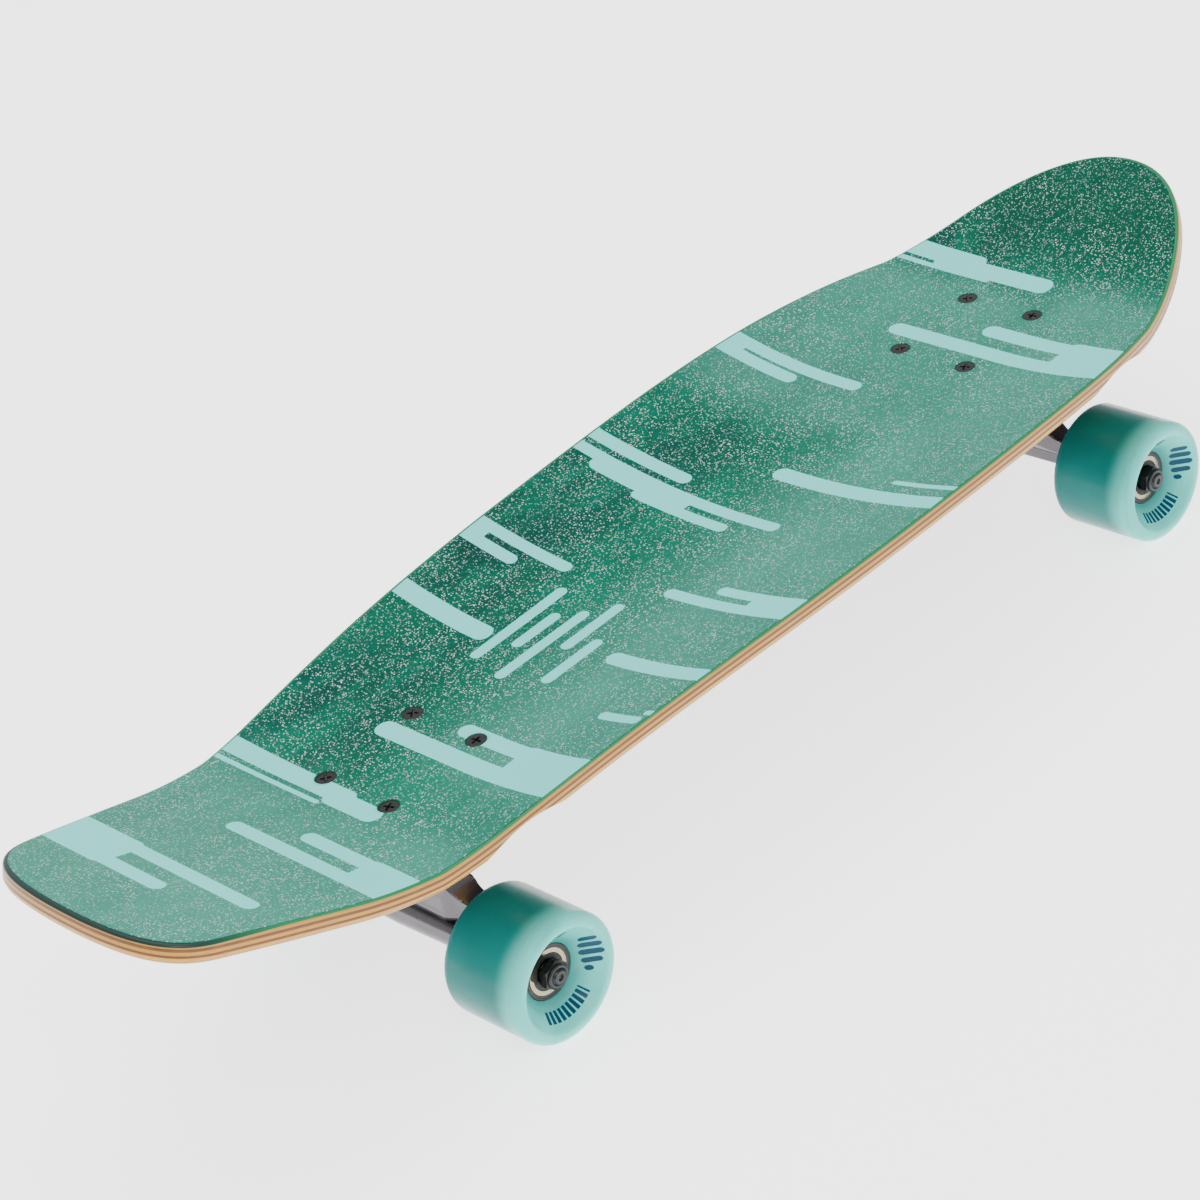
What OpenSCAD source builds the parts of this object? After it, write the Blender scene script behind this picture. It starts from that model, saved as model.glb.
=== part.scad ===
// Cruiser skateboard: concave deck with kick tail, two sprung trucks, four wheels.
// Millimetres. +X towards the nose, +Y to the rider's left, +Z up, ground at z = 0.

/* [Deck] */
// Board thickness, seven plies
deck_t = 9.5; // [8:0.5:13]
// Height of the flat top plane over the trucks, above the ground
deck_z = 101.5; // [95:0.5:120]
// Distance between the two bolt patterns, centre to centre
bolt_base = 398.5; // [350:0.5:450]
// Shift that puts the middle of the board's length at x = 0
mid_x = 19.3; // [10:0.1:30]
// Rise of the rims over the middle at the board's waist
concave = 12.6; // [4:0.1:18]
// Angle of the tail
tail_angle = 20.1; // [10:0.1:30]
// Angle of the nose
nose_angle = 18.5; // [8:0.5:28]
// Thickness of the clear grit sheet
grip_t = 0.4; // [0.2:0.1:1]

/* [Trucks] */
// Long side of the bolt rectangle
bolt_dx = 53.98; // [50:0.01:66]
// Short side of the bolt rectangle
bolt_dy = 41.3; // [38:0.1:44]
// Riser pad thickness
riser_t = 6.4; // [1:0.1:12]
// Axle centre outboard of the bolt pattern's centre
axle_dx = 16.8; // [5:0.1:25]
// Axle radius
axle_r = 3.95; // [3.5:0.01:4]
// Half length of the axle
axle_half = 96.2; // [85:0.1:105]
// Lean of the kingpin from upright
king_lean = 20; // [5:1:35]
// Kingpin radius
king_r = 4.75; // [4:0.05:5]

/* [Wheels] */
// Wheel radius
wheel_r = 30.65; // [25:0.05:40]
// Wheel width
wheel_w = 47.8; // [30:0.1:55]
// Wheel centre from the board's middle plane
wheel_y = 76.7; // [65:0.1:85]
// Bearing pair's centre from the board's middle plane
bearing_y = 76.3; // [60:0.1:80]
// Radius of the rounded edges of the tread
lip_r = 4.6; // [1:0.1:8]

/* [Hidden] */
$fn = 72;

// ---- deck surface ---------------------------------------------------------------
// x here is measured from the middle of the wheelbase
tail_start = 215;
tail_bend_r = 219;
nose_start = 234;
nose_bend_r = 150;
widest_x = 80;
waist_w = 99;
rim_top_r = 1.5;
rim_low_r = 3.5;
grip_inset = 3.5;
low_inset = 4.5;
rocker = 1.2;
flat_half = 30;
nose_rim = 1.8;
// length over which the rims fade towards each end, from fade_start
fade_start = 60;
tail_fade = 188;
nose_fade = 177;

function smooth(t) = let (c = max(0, min(1, t))) c * c * (3 - 2 * c);
function bez(p, t) = pow(1 - t, 3) * p[0] + 3 * pow(1 - t, 2) * t * p[1]
  + 3 * (1 - t) * t * t * p[2] + pow(t, 3) * p[3];

function kick_angle(x) = x < 0 ? tail_angle : nose_angle;
function bend_r(x) = x < 0 ? tail_bend_r : nose_bend_r;
function bend_len(x) = bend_r(x) * sin(kick_angle(x));
function kick_s(x) = max(0, abs(x) - (x < 0 ? tail_start : nose_start));
function kick_z(x) = kick_s(x) < bend_len(x)
  ? bend_r(x) - sqrt(pow(bend_r(x), 2) - pow(kick_s(x), 2))
  : bend_r(x) * (1 - cos(kick_angle(x))) + (kick_s(x) - bend_len(x)) * tan(kick_angle(x));
function kick_tilt(x) = sign(x) * (kick_s(x) < bend_len(x)
  ? asin(kick_s(x) / bend_r(x)) : kick_angle(x));

function half_w(x) = waist_w - (x < widest_x ? 0.00022 : 0.00058) * pow(x - widest_x, 2);
function fade(x) = max(0, min(1, (abs(x) - fade_start) / (x < 0 ? tail_fade : nose_fade)));
function rim_rise(x) = concave - (concave - (x < 0 ? 0 : nose_rim)) * pow(fade(x), 1.6);
function flat_w(x) = flat_half * smooth((abs(x) - 50) / 105);
function dish(x, y) = rim_rise(x) * pow(max(0, abs(y) - flat_w(x)) / (half_w(x) - flat_w(x)), 2);
function top_z(x, y) = kick_z(x) + dish(x, y) - rocker * (1 - smooth((abs(x) - 60) / 98));

// outline, left half, tail to nose
rim_max = 100.3;
tail_corner = [[-379.5, 0], [-379.5, 48], [-369, 61.3], [-350, 64.7]];
tail_side = [[-350, 64.7], [-299, 74.1], [-94, rim_max], [widest_x, rim_max]];
nose_side = [[widest_x, rim_max], [124, rim_max], [174.5, 98], [212, 90.3]];
nose_end = [[212, 90.3], [264, 79.6], [341, 53], [341, 0]];
half_line = concat(
  [for (i = [0 : 7]) bez(tail_corner, i / 8)],
  [for (i = [0 : 19]) bez(tail_side, i / 20)],
  [for (i = [0 : 6]) bez(nose_side, i / 7)],
  [for (i = [0 : 14]) bez(nose_end, i / 14)]);
half_n = len(half_line);
rim = concat(half_line, [for (i = [half_n - 2 : -1 : 1]) [half_line[i][0], -half_line[i][1]]]);
rim_n = len(rim);
spine_tail = -318;
spine_nose = 252;

function unit(v) = v / norm(v);
function rim_out(i) = let (d = unit(rim[(i + 1) % rim_n] - rim[(i + rim_n - 1) % rim_n]))
  [-d[1], d[0]];
function inset_pt(i, d) = rim[i] - d * rim_out(i);
function inner_pt(i, f) = let (p = inset_pt(i, low_inset),
  s = [max(spine_tail, min(spine_nose, p[0])), 0]) s + f * (p - s);
inner_f = [0.82, 0.62, 0.42, 0.24, 0.08];

// a point at depth d below the top surface, square to the kick
function sink(p, d) = let (a = kick_tilt(p[0]))
  [p[0] + d * sin(a) + mid_x, p[1], deck_z + top_z(p[0], p[1]) - d * cos(a)];

top_rings = [for (f = [0.08, 0.24, 0.42, 0.62, 0.82])
  [for (i = [0 : rim_n - 1]) sink(inner_pt(i, f), 0)]];
edge_steps = [[grip_inset, 0], [rim_top_r, 0], [0.44, 0.44], [0, rim_top_r],
  [0, deck_t - rim_low_r], [1.03, deck_t - 1.03], [rim_low_r, deck_t], [low_inset, deck_t]];
edge_rings = [for (s = edge_steps) [for (i = [0 : rim_n - 1]) sink(inset_pt(i, s[0]), s[1])]];
low_rings = [for (f = inner_f) [for (i = [0 : rim_n - 1]) sink(inner_pt(i, f), deck_t)]];

// closed shell from a list of rings; both end rings are capped across the board, and
// from ring number fold on the quads are split along their other diagonal
module shell(rings, fold) {
  last = len(rings) - 1;
  pts = [for (r = rings) for (p = r) p];
  bands = [for (k = [0 : last - 1]) for (i = [0 : rim_n - 1])
    let (a = k * rim_n + i, b = k * rim_n + (i + 1) % rim_n)
    for (t = k < fold ? [[a, b, b + rim_n], [a, b + rim_n, a + rim_n]]
      : [[a, b, a + rim_n], [b, b + rim_n, a + rim_n]]) t];
  caps = [for (i = [0 : half_n - 2])
    let (a = i, b = i + 1, c = (rim_n - i - 1) % rim_n, d = (rim_n - i) % rim_n)
    for (t = [[a, c, b], [a, d, c]]) if (t[0] != t[1] && t[1] != t[2] && t[0] != t[2]) t];
  low = [for (t = caps) [t[0] + last * rim_n, t[2] + last * rim_n, t[1] + last * rim_n]];
  polyhedron(points = pts, faces = concat(bands, caps, low), convexity = 6);
}

// ---- placing --------------------------------------------------------------------
// truck frame: +X outboard, origin on the ground under the bolt pattern's centre
module front() { translate([mid_x + bolt_base / 2, 0, 0]) children(); }
module rear() { translate([mid_x - bolt_base / 2, 0, 0]) rotate([0, 0, 180]) children(); }
module at_bolts() {
  for (x = [-1, 1], y = [-1, 1]) translate([x * bolt_dx / 2, y * bolt_dy / 2, 0]) children();
}
// both ends of the axle, local +Z outboard along the axle from the middle plane
module axle_ends() {
  translate([axle_dx, 0, wheel_r]) rotate([-90, 0, 0]) children();
  translate([axle_dx, 0, wheel_r]) rotate([90, 0, 0]) children();
}
module left_wheel() { translate([axle_dx, 0, wheel_r]) rotate([-90, 0, 0]) children(); }
module right_wheel() { translate([axle_dx, 0, wheel_r]) rotate([90, 0, 0]) children(); }

plate_z = deck_z - deck_t - riser_t;
plate_t = 6;
plate_in = 38;
plate_out = 50;
plate_half = 28;
// where the kingpin crosses the hanger's ring
ring_x = -5;
ring_z = 50;
// centre of the pivot nose's round end
pivot_x = 40;
pivot_z = 73;
pivot_len = norm([pivot_x - ring_x, pivot_z - ring_z]);
steer_rise = atan2(pivot_z - ring_z, pivot_x - ring_x);
// local +Z up the kingpin, origin in the ring
module on_kingpin() { translate([ring_x, 0, ring_z]) rotate([0, king_lean, 0]) children(); }
// local +Z along the steering axis, outboard and up, origin in the ring
module on_steer() { translate([ring_x, 0, ring_z]) rotate([0, 90 - steer_rise, 0]) children(); }

module tube(r1, r2, h) {
  difference() {
    cylinder(r = r2, h = h);
    translate([0, 0, -1]) cylinder(r = r1, h = h + 2);
  }
}
module hex(r, h) { cylinder(r = r, h = h, $fn = 6); }

// ---- deck group -----------------------------------------------------------------
bolt_r = 2.4;
bolt_hole_r = 2.7;
head_r = 4.9;
head_h = 2.8;
bolt_len = 32;
// hollows over the wheels: [middle, cutter radius, rim's distance from the middle plane]
wells_at = [[-201, 58, 83], [200, 72, 91]];
well_start = 48;
well_rise = 10;

module bolt_holes() {
  for (s = [-1, 1]) translate([mid_x + s * bolt_base / 2, 0, 0]) at_bolts() {
    translate([0, 0, deck_z - deck_t - 5]) cylinder(r = bolt_hole_r, h = deck_t + 10);
    translate([0, 0, deck_z - head_h]) cylinder(r1 = bolt_r, r2 = head_r, h = head_h);
    translate([0, 0, deck_z - 0.01]) cylinder(r = head_r, h = 5);
  }
}
module wells() {
  for (w = wells_at, t = [-1, 1]) translate([mid_x + w[0], t * well_start, deck_z - deck_t])
    rotate([t * atan(well_rise / (w[2] - well_start)), 0, 0]) translate([0, 0, -w[1]])
      rotate([90, 0, 0]) cylinder(r = w[1], h = 120, center = true, $fn = 144);
}
module deck() {
  color([0.1, 0.5, 0.38]) difference() {
    shell(concat(top_rings, edge_rings, low_rings), rim_n);
    bolt_holes();
    wells();
  }
}
module grip_sheet() {
  rings = concat(top_rings, [edge_rings[0]]);
  lifted = [for (r = rings) [for (p = r) p + [0, 0, grip_t]]];
  n = len(rings);
  color([0.35, 0.65, 0.55]) difference() {
    shell(concat(lifted, [for (k = [n - 1 : -1 : 0]) rings[k]]), n);
    bolt_holes();
  }
}
module bolts() {
  color([0.1, 0.1, 0.1]) at_bolts() difference() {
    union() {
      translate([0, 0, deck_z - bolt_len]) cylinder(r = bolt_r, h = bolt_len - head_h);
      translate([0, 0, deck_z - head_h]) cylinder(r1 = bolt_r, r2 = head_r, h = head_h);
    }
    for (a = [0, 90]) translate([0, 0, deck_z - 0.5]) rotate([0, 0, a])
      cube([4.6, 1, 3], center = true);
  }
}
nut_h = 5.5;
module bolt_nuts() {
  color([0.2, 0.2, 0.2]) at_bolts() translate([0, 0, plate_z - plate_t - nut_h])
    difference() {
      hex(5.5, nut_h);
      translate([0, 0, -1]) cylinder(r = bolt_r, h = nut_h + 2);
    }
}

// ---- truck, fixed side ----------------------------------------------------------
corner_r = 7;
module plate_outline(grow) {
  for (x = [-plate_in + corner_r, plate_out - corner_r])
    for (y = [-1, 1])
      translate([x, y * (plate_half - corner_r)]) circle(r = corner_r + grow);
  translate([-plate_in - grow, -plate_half + corner_r])
    square([plate_in + plate_out + 2 * grow, 2 * (plate_half - corner_r)]);
  translate([-plate_in + corner_r, -plate_half - grow])
    square([plate_in + plate_out - 2 * corner_r, 2 * (plate_half + grow)]);
}
module riser_pad() {
  color([0.12, 0.12, 0.13]) difference() {
    translate([0, 0, plate_z]) linear_extrude(riser_t) plate_outline(0.5);
    at_bolts() translate([0, 0, plate_z - 1]) cylinder(r = bolt_hole_r, h = riser_t + 2);
    translate([6, 0, plate_z - 1]) cylinder(r = 10, h = riser_t + 2);
  }
}
// distances along the kingpin from the middle of the ring
ring_half = 4;
cup_depth = 1.5;
board_bush_end = 16.5;
board_washer_end = 18;
head_low = 28;
head_top = 33;
road_bush_end = -15;
road_washer_end = -16.5;
king_nut_end = -23.5;
king_end = -26;
boss_r = 11;
cup_r = 8.5;
cup_mouth = pivot_len - 7;
cup_boss_mouth = pivot_len - 6;
nose_r = 6;
nose_gap = 0.07;
rib_x = 8;
rib_len = 34;
rib_w = 8;
rib_h = 3;
head_room_r = 8.2;

module baseplate() {
  color([0.78, 0.79, 0.8]) difference() {
    union() {
      translate([0, 0, plate_z - plate_t]) linear_extrude(plate_t) plate_outline(0);
      intersection() {
        union() {
          on_kingpin() translate([0, 0, board_washer_end]) cylinder(r = boss_r, h = 40);
          on_steer() translate([0, 0, cup_boss_mouth]) cylinder(r = boss_r, h = 40);
          // rib between the two bosses, clear of the hanger's stem
          translate([rib_x, -rib_w / 2, plate_z - plate_t - rib_h])
            cube([rib_len, rib_w, rib_h + 1]);
        }
        translate([-plate_in, -plate_half, 0])
          cube([plate_in + plate_out, 2 * plate_half, plate_z - 0.5]);
      }
    }
    at_bolts() translate([0, 0, plate_z - plate_t - 1]) cylinder(r = bolt_hole_r, h = plate_t + 2);
    on_kingpin() cylinder(r = king_r, h = 60);
    on_kingpin() translate([0, 0, head_low]) cylinder(r = head_room_r, h = 30);
    on_steer() translate([0, 0, cup_boss_mouth - 1]) cylinder(r = cup_r, h = 14);
  }
}
module kingpin() {
  color([0.25, 0.25, 0.27]) on_kingpin() {
    translate([0, 0, king_end + 1]) cylinder(r = king_r, h = head_low - king_end - 1);
    translate([0, 0, king_end]) cylinder(r1 = king_r - 1, r2 = king_r, h = 1);
    translate([0, 0, head_low]) hex(8.1, head_top - head_low);
  }
}
module kingpin_nut() {
  color([0.2, 0.2, 0.22]) on_kingpin() translate([0, 0, king_nut_end]) difference() {
    union() {
      translate([0, 0, 2]) hex(8.25, road_washer_end - king_nut_end - 2);
      cylinder(r = 6.9, h = 2);
    }
    translate([0, 0, -1]) cylinder(r = king_r, h = 20);
  }
}
bush_hole_r = king_r + 0.25;
module cup_washer(r) {
  tube(bush_hole_r, r, 1.5);
  translate([0, 0, 1.4]) tube(r - 1.2, r, 1.6);
}
module board_washer() {
  color([0.7, 0.71, 0.73]) on_kingpin() translate([0, 0, board_washer_end]) mirror([0, 0, 1])
    cup_washer(12.4);
}
module road_washer() {
  color([0.7, 0.71, 0.73]) on_kingpin() translate([0, 0, road_washer_end]) cup_washer(10.6);
}
module board_bushing() {
  color([0.16, 0.16, 0.17]) on_kingpin() difference() {
    translate([0, 0, ring_half - cup_depth])
      cylinder(r = 11.1, h = board_bush_end - ring_half + cup_depth);
    cylinder(r = bush_hole_r, h = 30);
  }
}
module road_bushing() {
  color([0.16, 0.16, 0.17]) on_kingpin() difference() {
    translate([0, 0, road_bush_end])
      cylinder(r1 = 9.2, r2 = 11.1, h = -ring_half + cup_depth - road_bush_end);
    translate([0, 0, -30]) cylinder(r = bush_hole_r, h = 40);
  }
}
module pivot_cup() {
  color([0.1, 0.1, 0.1]) on_steer() difference() {
    translate([0, 0, cup_mouth]) cylinder(r = cup_r, h = pivot_len + 6 + 1 - cup_mouth);
    translate([0, 0, cup_mouth - 1]) cylinder(r = nose_r + nose_gap, h = pivot_len - cup_mouth + 1);
    translate([0, 0, pivot_len]) sphere(r = nose_r + nose_gap);
  }
}

// ---- truck, turning side --------------------------------------------------------
tube_r = 8.2;
// the tube's flat, facing inboard and down
tube_flat = 5.6;
flat_turn = 38;
tube_swell = 1.15;
tube_end = bearing_y - 13;
arm_end = 50;
// side view of the yoke, outboard to the right
yoke_side = [[2, 45], [5, 39], [10.5, 33], [20.5, 33], [20.5, 50], [19, 57], [14, 60.5],
  [7, 58], [2, 51]];
// the yoke from above
yoke_top = [[1, 16], [6, arm_end], [14, arm_end], [20.5, 30], [20.5, -30], [14, -arm_end],
  [6, -arm_end], [1, -16]];
// round hollows that narrow the yoke above its arms
side_cut_r = 22;
side_cut_z = 68;
side_cut_y = arm_end + 2;
ring_r = 15;
ring_bore_r = 6.4;
cup_bore_r = 11.6;
// room for the washers to swing
swing_r = 16.5;

module hanger() {
  color([0.82, 0.83, 0.85]) difference() {
    union() {
      on_kingpin() translate([0, 0, -ring_half]) cylinder(r = ring_r, h = 2 * ring_half);
      // axle tube, thick in the middle
      for (s = [0, 1]) translate([axle_dx, 0, wheel_r]) mirror([0, s, 0]) rotate([90, 0, 0])
        linear_extrude(tube_end, scale = 1 / tube_swell) scale(tube_swell) intersection() {
          circle(r = tube_r);
          rotate(-flat_turn) translate([-20, -tube_flat]) square(40);
        }
      // flared yoke between ring and axle
      difference() {
        intersection() {
          rotate([90, 0, 0]) linear_extrude(2 * arm_end, center = true) polygon(yoke_side);
          linear_extrude(90) polygon(yoke_top);
        }
        for (s = [-1, 1]) translate([0, s * side_cut_y, side_cut_z]) rotate([0, 90, 0])
          cylinder(r = side_cut_r, h = 60, center = true);
      }
      // stem and round pivot nose, turned about the steering axis
      on_steer() {
        translate([0, 0, 22]) cylinder(r1 = 7.5, r2 = 7, h = cup_mouth - 3 - 22);
        translate([0, 0, cup_mouth - 3.01]) cylinder(r1 = 7, r2 = nose_r, h = 2.01);
        translate([0, 0, cup_mouth - 2]) cylinder(r = nose_r, h = pivot_len - cup_mouth + 2);
        translate([0, 0, pivot_len]) sphere(r = nose_r);
      }
    }
    on_kingpin() {
      translate([0, 0, -20]) cylinder(r = ring_bore_r, h = 40);
      for (s = [0, 1]) mirror([0, 0, s]) translate([0, 0, ring_half - cup_depth])
        cylinder(r = cup_bore_r, h = 20);
      translate([0, 0, ring_half]) cylinder(r = swing_r, h = 30);
    }
    translate([axle_dx, 0, wheel_r]) rotate([90, 0, 0])
      cylinder(r = axle_r, h = 300, center = true);
  }
}
module axle() {
  color([0.3, 0.3, 0.32]) {
    translate([axle_dx, 0, wheel_r]) rotate([90, 0, 0])
      cylinder(r = axle_r, h = 2 * axle_half - 2, center = true);
    axle_ends() translate([0, 0, axle_half - 1]) cylinder(r1 = axle_r, r2 = axle_r - 1, h = 1);
  }
}
// distances along the axle from the middle plane
bearing_w = 7;
stack_half = 12;
stack_in = bearing_y - stack_half;
stack_out = bearing_y + stack_half;
washer_t = 1;
axle_nut_h = 6;
module axle_nuts() {
  color([0.12, 0.12, 0.12]) axle_ends() translate([0, 0, stack_out + washer_t]) difference() {
    union() {
      hex(7.3, axle_nut_h - 1.8);
      translate([0, 0, axle_nut_h - 1.8]) cylinder(r = 6, h = 1.8);
    }
    translate([0, 0, -1]) cylinder(r = axle_r, h = 20);
  }
}
module speed_washers() {
  color([0.6, 0.61, 0.62]) axle_ends() for (z = [stack_in - washer_t, stack_out])
    translate([0, 0, z]) tube(4, 5.4, washer_t);
}
module bearing_spacers() {
  color([0.75, 0.76, 0.78]) axle_ends() translate([0, 0, stack_in + bearing_w])
    tube(4, 5.2, 2 * (stack_half - bearing_w));
}

// ---- bearings -------------------------------------------------------------------
ball_r = 1.985;
pitch_r = 7.5;
ball_gap = 0.06;
ball_n = 7;
inner_land = 6;
outer_land = 9;
outer_r = 11;
module at_bearings() {
  for (z = [stack_in, stack_out - bearing_w]) translate([0, 0, z + bearing_w / 2]) children();
}
module groove() { rotate_extrude() translate([pitch_r, 0]) circle(r = ball_r + ball_gap); }
module inner_rings() {
  color([0.8, 0.8, 0.82]) axle_ends() at_bearings() difference() {
    translate([0, 0, -bearing_w / 2]) tube(4, inner_land, bearing_w);
    groove();
  }
}
module outer_rings() {
  color([0.8, 0.8, 0.82]) at_bearings() difference() {
    translate([0, 0, -bearing_w / 2]) tube(outer_land, outer_r, bearing_w);
    groove();
  }
}
module shields() {
  color([0.72, 0.72, 0.74]) at_bearings() for (s = [0, 1]) mirror([0, 0, s])
    translate([0, 0, bearing_w / 2 - 0.6]) tube(inner_land + 0.35, outer_land, 0.35);
}
module balls() {
  color([0.9, 0.9, 0.92]) at_bearings() for (i = [0 : ball_n - 1])
    rotate([0, 0, i * 360 / ball_n]) translate([pitch_r, 0, 0]) sphere(r = ball_r);
}
module cages() {
  color([0.6, 0.5, 0.3]) at_bearings() difference() {
    translate([0, 0, -2.6]) tube(6.8, 8.2, 5.2);
    for (i = [0 : ball_n - 1]) rotate([0, 90, i * 360 / ball_n])
      cylinder(r = ball_r + ball_gap, h = outer_r);
  }
}

// ---- wheel ----------------------------------------------------------------------
wheel_in = wheel_y - wheel_w / 2;
wheel_out = wheel_y + wheel_w / 2;
core_r = 13.4;
core_lip = 0.4;
// mouths of the dished faces
dish_out_r = 24.5;
dish_in_r = 19;
// hoop that carries the rounded tread edges, r is the hoop's outer radius
module tread_edge(z) {
  translate([0, 0, z]) rotate_extrude() translate([wheel_r - lip_r, 0]) circle(r = lip_r);
}
module tyre() {
  color([0.45, 0.8, 0.76]) difference() {
    union() {
      translate([0, 0, wheel_in + lip_r]) cylinder(r = wheel_r, h = wheel_w - 2 * lip_r);
      translate([0, 0, wheel_in]) cylinder(r = wheel_r - lip_r, h = wheel_w);
      tread_edge(wheel_in + lip_r);
      tread_edge(wheel_out - lip_r);
    }
    translate([0, 0, wheel_in - 1]) cylinder(r = core_r, h = wheel_w + 2);
    // dished faces
    translate([0, 0, stack_out + core_lip])
      cylinder(r1 = core_r, r2 = dish_out_r, h = wheel_out - stack_out - core_lip + 0.01);
    translate([0, 0, wheel_in - 0.01])
      cylinder(r1 = dish_in_r, r2 = core_r, h = stack_in - core_lip - wheel_in + 0.01);
  }
}
module core() {
  color([0.1, 0.1, 0.1]) difference() {
    translate([0, 0, stack_in - core_lip])
      cylinder(r = core_r, h = 2 * (stack_half + core_lip));
    for (z = [stack_in - core_lip - 1, stack_out - bearing_w])
      translate([0, 0, z]) cylinder(r = outer_r, h = bearing_w + core_lip + 1);
    translate([0, 0, stack_in]) cylinder(r = 9.6, h = 2 * stack_half);
  }
}

deck();
grip_sheet();
front() bolts();  // front_bolts
rear() bolts();  // rear_bolts
front() bolt_nuts();  // front_bolt_nuts
rear() bolt_nuts();  // rear_bolt_nuts
front() riser_pad();  // front_riser_pad
front() baseplate();  // front_baseplate
front() kingpin();  // front_kingpin
front() kingpin_nut();  // front_kingpin_nut
front() board_washer();  // front_board_washer
front() road_washer();  // front_road_washer
front() board_bushing();  // front_board_bushing
front() road_bushing();  // front_road_bushing
front() pivot_cup();  // front_pivot_cup
front() hanger();  // front_hanger
front() axle();  // front_axle
front() axle_nuts();  // front_axle_nuts
front() speed_washers();  // front_speed_washers
front() bearing_spacers();  // front_bearing_spacers
front() inner_rings();  // front_bearing_inner_rings
rear() riser_pad();  // rear_riser_pad
rear() baseplate();  // rear_baseplate
rear() kingpin();  // rear_kingpin
rear() kingpin_nut();  // rear_kingpin_nut
rear() board_washer();  // rear_board_washer
rear() road_washer();  // rear_road_washer
rear() board_bushing();  // rear_board_bushing
rear() road_bushing();  // rear_road_bushing
rear() pivot_cup();  // rear_pivot_cup
rear() hanger();  // rear_hanger
rear() axle();  // rear_axle
rear() axle_nuts();  // rear_axle_nuts
rear() speed_washers();  // rear_speed_washers
rear() bearing_spacers();  // rear_bearing_spacers
rear() inner_rings();  // rear_bearing_inner_rings
front() left_wheel() tyre();  // front_left_tyre
front() left_wheel() core();  // front_left_core
front() left_wheel() outer_rings();  // front_left_bearing_outer_rings
front() left_wheel() shields();  // front_left_bearing_shields
front() left_wheel() balls();  // front_left_bearing_balls
front() left_wheel() cages();  // front_left_bearing_cages
front() right_wheel() tyre();  // front_right_tyre
front() right_wheel() core();  // front_right_core
front() right_wheel() outer_rings();  // front_right_bearing_outer_rings
front() right_wheel() shields();  // front_right_bearing_shields
front() right_wheel() balls();  // front_right_bearing_balls
front() right_wheel() cages();  // front_right_bearing_cages
rear() right_wheel() tyre();  // rear_left_tyre
rear() right_wheel() core();  // rear_left_core
rear() right_wheel() outer_rings();  // rear_left_bearing_outer_rings
rear() right_wheel() shields();  // rear_left_bearing_shields
rear() right_wheel() balls();  // rear_left_bearing_balls
rear() right_wheel() cages();  // rear_left_bearing_cages
rear() left_wheel() tyre();  // rear_right_tyre
rear() left_wheel() core();  // rear_right_core
rear() left_wheel() outer_rings();  // rear_right_bearing_outer_rings
rear() left_wheel() shields();  // rear_right_bearing_shields
rear() left_wheel() balls();  // rear_right_bearing_balls
rear() left_wheel() cages();  // rear_right_bearing_cages
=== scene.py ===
import bpy, bmesh, math
import numpy as np
from mathutils import Vector, Matrix


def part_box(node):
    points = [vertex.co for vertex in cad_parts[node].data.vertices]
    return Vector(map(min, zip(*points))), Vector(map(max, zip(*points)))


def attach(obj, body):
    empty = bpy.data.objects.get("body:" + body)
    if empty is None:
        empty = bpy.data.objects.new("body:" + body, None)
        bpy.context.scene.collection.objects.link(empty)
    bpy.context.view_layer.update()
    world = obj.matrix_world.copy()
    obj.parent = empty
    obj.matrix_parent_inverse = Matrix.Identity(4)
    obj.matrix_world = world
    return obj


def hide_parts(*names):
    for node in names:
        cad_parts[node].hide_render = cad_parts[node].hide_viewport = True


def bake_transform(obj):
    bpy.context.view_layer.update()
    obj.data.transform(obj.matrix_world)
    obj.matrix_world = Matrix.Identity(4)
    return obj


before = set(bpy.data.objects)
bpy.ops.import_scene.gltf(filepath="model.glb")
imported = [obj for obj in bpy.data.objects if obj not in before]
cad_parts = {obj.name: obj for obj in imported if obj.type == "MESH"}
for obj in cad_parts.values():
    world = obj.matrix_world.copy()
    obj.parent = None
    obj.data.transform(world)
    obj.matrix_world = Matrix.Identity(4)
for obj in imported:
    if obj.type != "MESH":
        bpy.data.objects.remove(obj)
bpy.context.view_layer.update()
MM = 0.001

# ---------------------------------------------------------------- sizes from the frame
lo_fa, hi_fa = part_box("front_axle")
lo_ra, hi_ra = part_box("rear_axle")
lo_ft, hi_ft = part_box("front_left_tyre")
AXLE_Z = (lo_fa.z + hi_fa.z) / 2 / MM
FRONT_AXLE_X = (lo_fa.x + hi_fa.x) / 2 / MM
REAR_AXLE_X = (lo_ra.x + hi_ra.x) / 2 / MM
MID_X = (FRONT_AXLE_X + REAR_AXLE_X) / 2
AXLE_DX = 16.8
BOLT_BASE = FRONT_AXLE_X - REAR_AXLE_X - 2 * AXLE_DX
DECK_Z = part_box("front_bolts")[1].z / MM
DECK_T = 9.5
GRIP_T = 0.4
BOLT_DX, BOLT_DY = 53.98, 41.3
WHEEL_R = (hi_ft.z - lo_ft.z) / 2 / MM
WHEEL_W = (hi_ft.y - lo_ft.y) / MM
WHEEL_Y = (hi_ft.y + lo_ft.y) / 2 / MM
BEARING_Y = 76.3
CORE_R, CORE_HALF, LIP_R = 13.4, 12.4, 4.6
# an axle nut's inner face from the bearing pair's middle
NUT_OUT = 13.0
KING_LEAN = 20.0
RING_X, RING_Z = -5.0, 50.0
PLATE_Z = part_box("front_baseplate")[1].z / MM


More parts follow.
